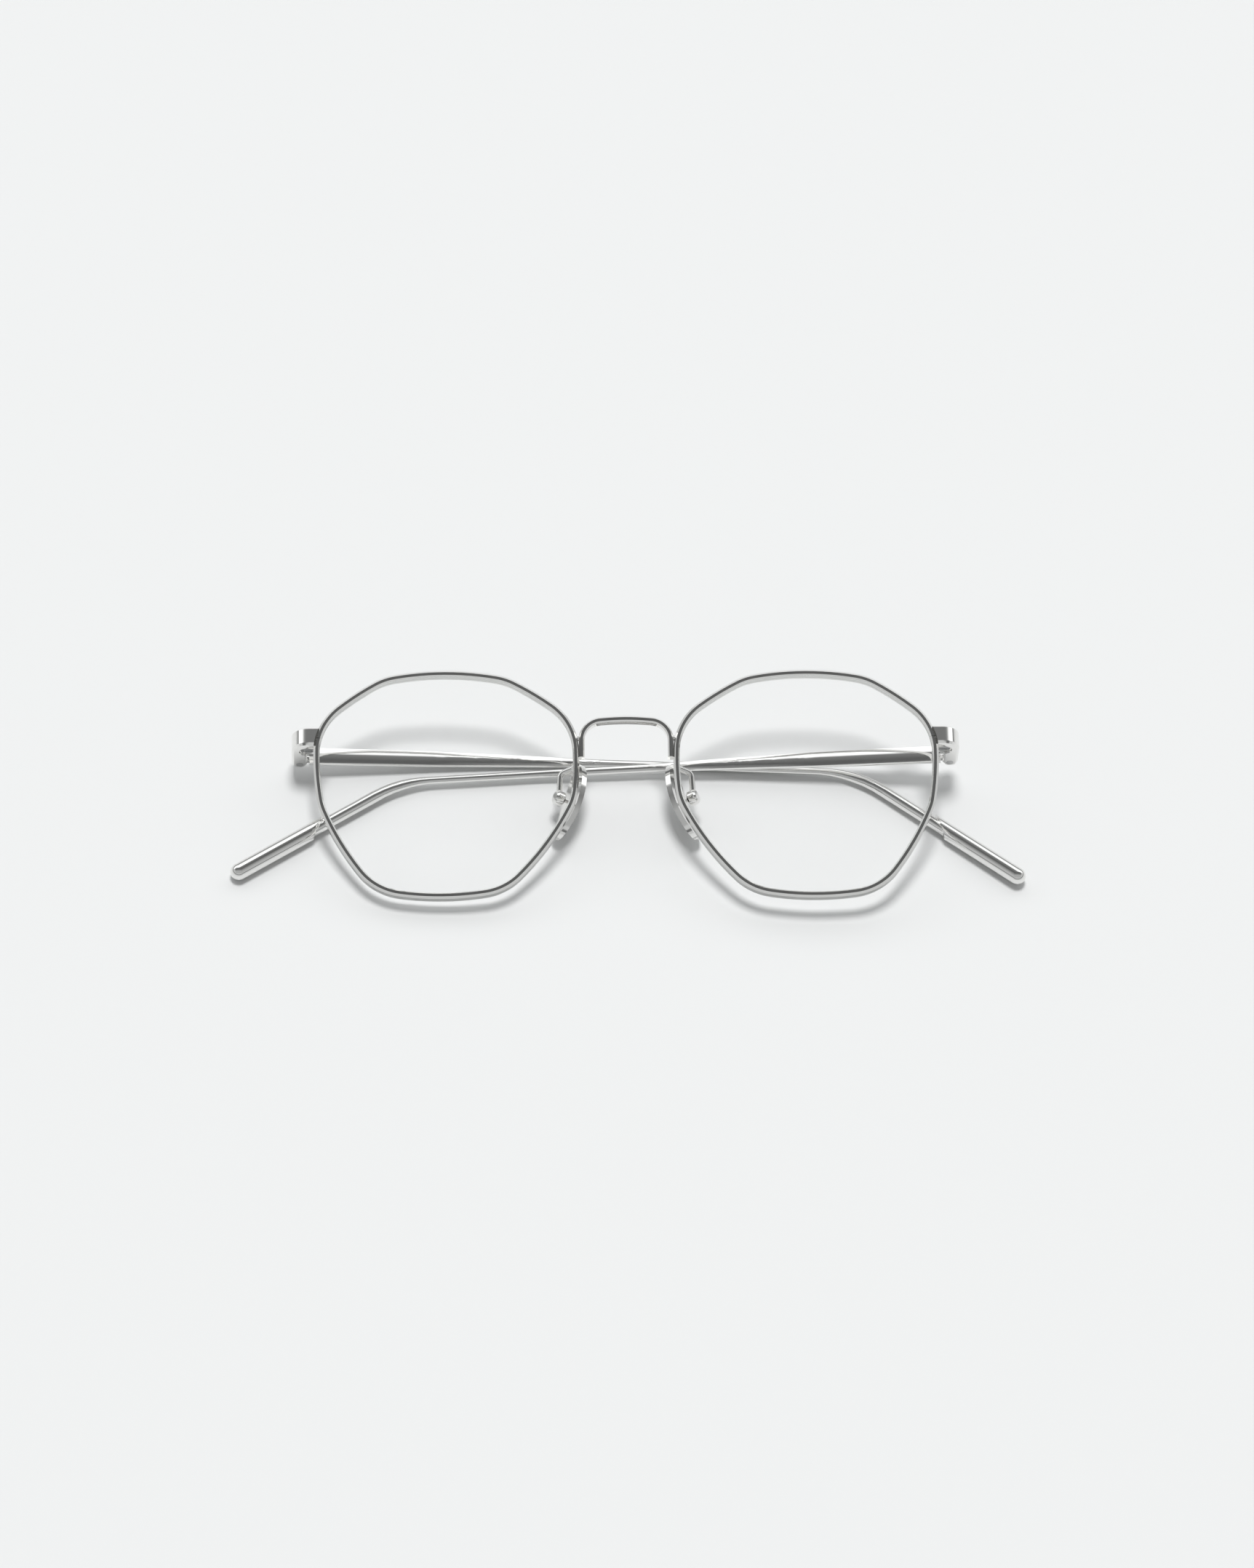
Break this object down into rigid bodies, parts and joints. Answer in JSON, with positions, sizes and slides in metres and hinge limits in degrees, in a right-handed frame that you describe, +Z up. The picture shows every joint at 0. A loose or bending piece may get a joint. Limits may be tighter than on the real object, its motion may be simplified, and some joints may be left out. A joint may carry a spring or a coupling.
{
  "type": "octagonal eyeglasses",
  "caption": "Full-rim metal eyeglasses with soft octagonal rims, arched bridge, adjustable nose pads and slim folding temples, stored folded and face up.",
  "frame": {"origin": "middle of the folded pair's footprint, on the surface it lies on", "axes": "+X along the front, from the wearer's right to the left; +Y across the front, from the chin side to the brow side; +Z up, out of the faces of the lenses"},
  "size_m": [0.1516, 0.045, 0.0179],
  "materials": {
    "frame": "polished silver",
    "temple": "polished silver",
    "tip": "polished silver",
    "pad": "polished silver",
    "screw": "turned steel",
    "lens": "clear"
  },
  "bodies": {
    "front": {"rim_left": "frame", "rim_right": "frame", "lens_left": "lens", "lens_right": "lens", "bridge": "frame", "end_piece_left": "frame", "end_piece_right": "frame", "lock_block_upper_left": "frame", "lock_block_upper_right": "frame", "lock_block_lower_left": "frame", "lock_block_lower_right": "frame", "lock_screw_left": "screw", "lock_screw_right": "screw", "hinge_screw_left": "screw", "hinge_screw_right": "screw", "pad_arm_left": "frame", "pad_arm_right": "frame", "pad_cup_left": "frame", "pad_cup_right": "frame"},
    "temple_left": {"temple_left": "temple", "temple_tip_left": "tip"},
    "temple_right": {"temple_right": "temple", "temple_tip_right": "tip"},
    "nose_pad_left": {"nose_pad_left": "pad"},
    "nose_pad_right": {"nose_pad_right": "pad"}
  },
  "joints": [
    {"name": "temple_hinge_left", "type": "hinge", "parent": "front", "child": "temple_left", "pos_m": [0.06182, 0.01021, 0.00699], "axis": [0.0031, -0.9923, -0.1239], "range_deg": [0, 86.75]},
    {"name": "temple_hinge_right", "type": "hinge", "parent": "front", "child": "temple_right", "pos_m": [-0.06265, 0.01021, 0.0039], "axis": [-0.0031, 0.9923, 0.1239], "range_deg": [0, 84.65]},
    {"name": "pad_rock_left", "type": "hinge", "parent": "front", "child": "nose_pad_left", "pos_m": [0.01238, 0.00006, 0.00592], "axis": [-0.4078, -0.3596, 0.8393], "range_deg": [-5, 5]},
    {"name": "pad_rock_right", "type": "hinge", "parent": "front", "child": "nose_pad_right", "pos_m": [-0.01322, 0.00006, 0.00529], "axis": [-0.3657, 0.3596, -0.8585], "range_deg": [-5, 5]}
  ]
}
